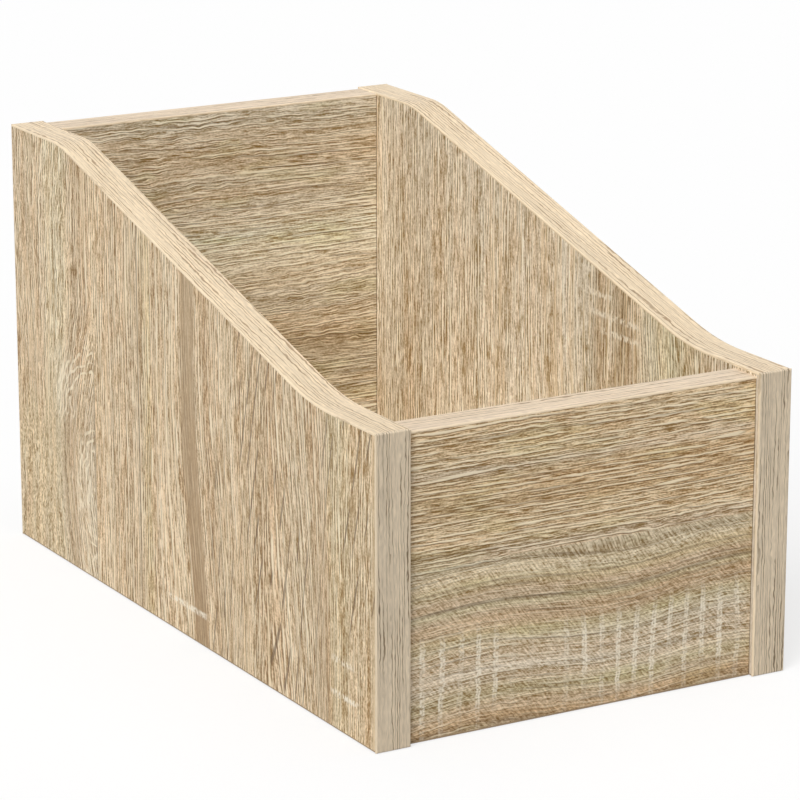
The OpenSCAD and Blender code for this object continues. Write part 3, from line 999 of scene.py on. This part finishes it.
# connectors: cams of dull die-cast zinc, bolts of plated steel with fine lines from turning, and
# dowels of beech with dark flecks
connectorLooks = {
    "castZinc": {
        "dark": (176, 176, 180), "light": (208, 208, 212), "stain": ((160, 160, 160), 2),
        "skin": ((900, 900, 900), 3), "roughness": (0.36, 0.54), "metal": 0.9, "depth": 0.00003,
    },
    "platedSteel": {
        "dark": (168, 166, 160), "light": (214, 212, 204), "stain": ((2600, 180, 180), 2),
        "skin": ((2600, 180, 180), 2), "roughness": (0.24, 0.38), "metal": 1.0, "depth": 0.00001,
    },
    "beech": {
        "dark": (196, 158, 116), "light": (226, 194, 152), "stain": ((40, 900, 900), 3),
        "skin": ((40, 900, 900), 3), "roughness": (0.55, 0.7), "metal": 0.0, "depth": 0.00005,
        "fleckCells": (260, 2200, 2200), "flecks": (0.62, 0.72, (0.0, 0.6)),
        "fleck": (150, 106, 70),
    },
}


def makeConnectorMaterial(name, look):
    material, tree, shader = startMaterial(name)
    place = placeOf(tree)
    skin = cloud(place, *look["skin"])
    stain = cloud(place, *look["stain"])
    colour = blendColours(stain, paint(*look["dark"]), paint(*look["light"]))
    if "fleck" in look:
        flecks = spread(cloud(place, look["fleckCells"]), *look["flecks"])
        colour = blendColours(flecks, colour, paint(*look["fleck"]))
    rough = spread(skin, 0.3, 0.7, look["roughness"])
    setSurface(tree, shader, colour, rough, skin, look["depth"])
    shader.inputs["Metallic"].default_value = look["metal"]
    return material


zinc, steel, beech = (
    makeConnectorMaterial(name, look) for name, look in connectorLooks.items())


# bolts and dowels are modelled finer than their plain solids, with threads and flutes
pieceEdges = {"merge": 0.000001, "smoothBelow": 28}  # metres and degrees


def finishPiece(bm, name, node, material):
    bmesh.ops.remove_doubles(bm, verts=bm.verts, dist=pieceEdges["merge"])
    bmesh.ops.recalc_face_normals(bm, faces=bm.faces)
    for face in bm.faces:
        face.smooth = True
    sharp = math.radians(pieceEdges["smoothBelow"])
    for edge in bm.edges:
        edge.smooth = edge.is_manifold and edge.calc_face_angle() < sharp
    mesh = bpy.data.meshes.new(name)
    bm.to_mesh(mesh)
    bm.free()
    mesh.materials.append(material)
    piece = bpy.data.objects.new(name, mesh)
    scene.collection.objects.link(piece)
    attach(piece, "root")
    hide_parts(node)


def layDown(bm, node):
    # built standing on the origin, then laid with its foot in the side panel
    low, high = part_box(node)
    left = low[0] < 0
    foot = low[0] if left else high[0]
    turn = Matrix.Rotation(math.radians(90 if left else -90), 3, "Y")
    bmesh.ops.rotate(bm, verts=bm.verts, matrix=turn)
    bmesh.ops.translate(bm, verts=bm.verts, vec=(
        foot, (low[1] + high[1]) / 2, (low[2] + high[2]) / 2))


dowelShape = {
    "radius": 0.004,
    "length": 0.030,
    "chamfer": 0.001,
    "flutes": 20,
    "fluteDepth": 0.0003,
}


def makeDowel(node, shape, material):
    bm = bmesh.new()
    radius, chamfer = shape["radius"], shape["chamfer"]
    endRadius = radius - chamfer
    # four edges to a flute
    bmesh.ops.create_circle(bm, cap_ends=True, radius=endRadius, segments=shape["flutes"] * 4)
    face = bm.faces[:][0]
    straight = shape["length"] - 2 * chamfer
    widen = radius / endRadius
    for rise, scale in ((chamfer, widen), (straight, 1.0), (chamfer, 1 / widen)):
        made = bmesh.ops.extrude_face_region(bm, geom=[face] + face.edges[:] + face.verts[:])
        face = [item for item in made["geom"] if isinstance(item, bmesh.types.BMFace)][0]
        bmesh.ops.scale(bm, verts=face.verts[:], vec=(scale, scale, 1.0))
        bmesh.ops.translate(bm, verts=face.verts[:], vec=(0, 0, rise))
    # every fourth edge along the dowel is pressed in
    share = 1 - shape["fluteDepth"] / radius
    pressed = [vert for vert in bm.verts if vert.co.xy.length > radius * 0.99
               and math.cos(math.atan2(vert.co.y, vert.co.x) * shape["flutes"]) > 0.9]
    bmesh.ops.scale(bm, verts=pressed, vec=(share, share, 1.0))
    layDown(bm, node)
    finishPiece(bm, node + "_fluted", node, material)


boltShape = {
    # radius and height, from the tip to the head
    "outline": [
        (0.0, 0.0), (0.00125, 0.0), (0.0021, 0.0015), (0.0021, 0.0110), (0.0037, 0.0110),
        (0.0037, 0.0135), (0.0030, 0.0135), (0.0030, 0.0272), (0.0020, 0.0272),
        (0.0020, 0.0312), (0.0033, 0.0312), (0.0033, 0.0324), (0.0020, 0.0336), (0.0, 0.0336),
    ],
    "steps": 36,
    "threadStart": 0.0026,
    "threadPitch": 0.0020,
    "threadTurns": 3.75,
    "threadFoot": 0.0019,
    "threadCrest": 0.00248,
    "threadWidth": 0.0010,
    "threadSteps": 24,  # to the turn
}


def makeBolt(node, shape, material):
    bm = bmesh.new()
    line = [bm.verts.new((radius, 0, height)) for radius, height in shape["outline"]]
    edges = [bm.edges.new(pair) for pair in zip(line, line[1:])]
    bmesh.ops.spin(bm, geom=line + edges, cent=(0, 0, 0), axis=(0, 0, 1), angle=2 * math.pi,
                   steps=shape["steps"], use_merge=True)
    foot, crest, start = shape["threadFoot"], shape["threadCrest"], shape["threadStart"]
    half = shape["threadWidth"] / 2
    ridge = bm.faces.new([bm.verts.new(corner) for corner in (
        (foot, 0, start - half), (crest, 0, start), (foot, 0, start + half))])
    bmesh.ops.spin(bm, geom=[ridge], cent=(0, 0, 0), axis=(0, 0, 1),
                   dvec=(0, 0, shape["threadPitch"] / shape["threadSteps"]),
                   angle=2 * math.pi * shape["threadTurns"],
                   steps=int(shape["threadSteps"] * shape["threadTurns"]))
    layDown(bm, node)
    finishPiece(bm, node + "_threaded", node, material)


for node in nodes:
    if node.endswith("_cam"):
        assign(node, zinc)
    elif node.endswith("_cam_bolt"):
        assign(node, steel)
        makeBolt(node, boltShape, steel)
    elif node.endswith("_dowel"):
        assign(node, beech)
        makeDowel(node, dowelShape, beech)
print("connectors finished")


# floor: pale, white to the camera where no shadow falls
floorLook = {
    "side": 30.0,
    "drop": 0.0002,
    "bounce": (190, 190, 190),  # what the object is lit back with
    "seen": (248, 248, 248),  # what the camera sees
    "roughness": 0.9,
    "lift": 0.66,
}


def seenShare(tree):
    rays = put(tree, "LightPath").outputs
    return calc("MAXIMUM", rays["Is Camera Ray"], rays["Is Glossy Ray"])


def makeFloor(look):
    bm = bmesh.new()
    bmesh.ops.create_grid(bm, x_segments=1, y_segments=1, size=look["side"] / 2)
    bmesh.ops.translate(bm, verts=bm.verts, vec=(0, 0, -look["drop"]))
    mesh = bpy.data.meshes.new("floor")
    bm.to_mesh(mesh)
    bm.free()
    floor = bpy.data.objects.new("floor", mesh)
    scene.collection.objects.link(floor)

    material, tree, shader = startMaterial("paleFloor")
    shader.inputs["Roughness"].default_value = look["roughness"]
    shader.inputs["Specular IOR Level"].default_value = 0.0
    seen = seenShare(tree)
    colour = blendColours(seen, paint(*look["bounce"]), paint(*look["seen"]))
    tree.links.new(colour, shader.inputs["Base Color"])
    glow = put(tree, "Emission", None, {"Color": (1, 1, 1, 1), "Strength": 1.0})
    blend = put(tree, "MixShader")
    plug(blend.inputs[0], times(seen, look["lift"]))
    tree.links.new(shader.outputs[0], blend.inputs[1])
    tree.links.new(glow.outputs[0], blend.inputs[2])
    tree.links.new(blend.outputs[0], tree.nodes["Material Output"].inputs["Surface"])
    mesh.materials.append(material)


makeFloor(floorLook)


# light: a soft key from the upper left front, a soft top light and an even surround
lamps = {
    "key": {"from": (-0.62, -0.42, 0.70), "spread": 34, "level": 0.76},
    "top": {"from": (0.10, 0.05, 1.0), "spread": 60, "level": 0.24},
}
surround = 0.28


def makeLamp(name, lamp):
    data = bpy.data.lights.new(name, "SUN")
    data.angle = math.radians(lamp["spread"])
    # a level of 1 lights a facing surface so that its colour shows as it is written
    data.energy = lamp["level"] * math.pi
    light = bpy.data.objects.new(name, data)
    scene.collection.objects.link(light)
    direction = Vector(lamp["from"]).normalized()
    light.location = direction * 2  # a sun lights the same from anywhere
    light.rotation_mode = "QUATERNION"
    light.rotation_quaternion = (-direction).to_track_quat("-Z", "Y")


def makeSurround(level):
    world = bpy.data.worlds.new("surround")
    scene.world = world
    world.use_nodes = True
    tree = world.node_tree
    background = tree.nodes["Background"]
    strength = spread(seenShare(tree), 0, 1, (level, 1.0), "LINEAR")
    background.inputs["Color"].default_value = (1, 1, 1, 1)
    tree.links.new(strength, background.inputs["Strength"])


for name, lamp in lamps.items():
    makeLamp(name, lamp)
makeSurround(surround)
scene.view_settings.view_transform = "Standard"
print("floor and light placed")
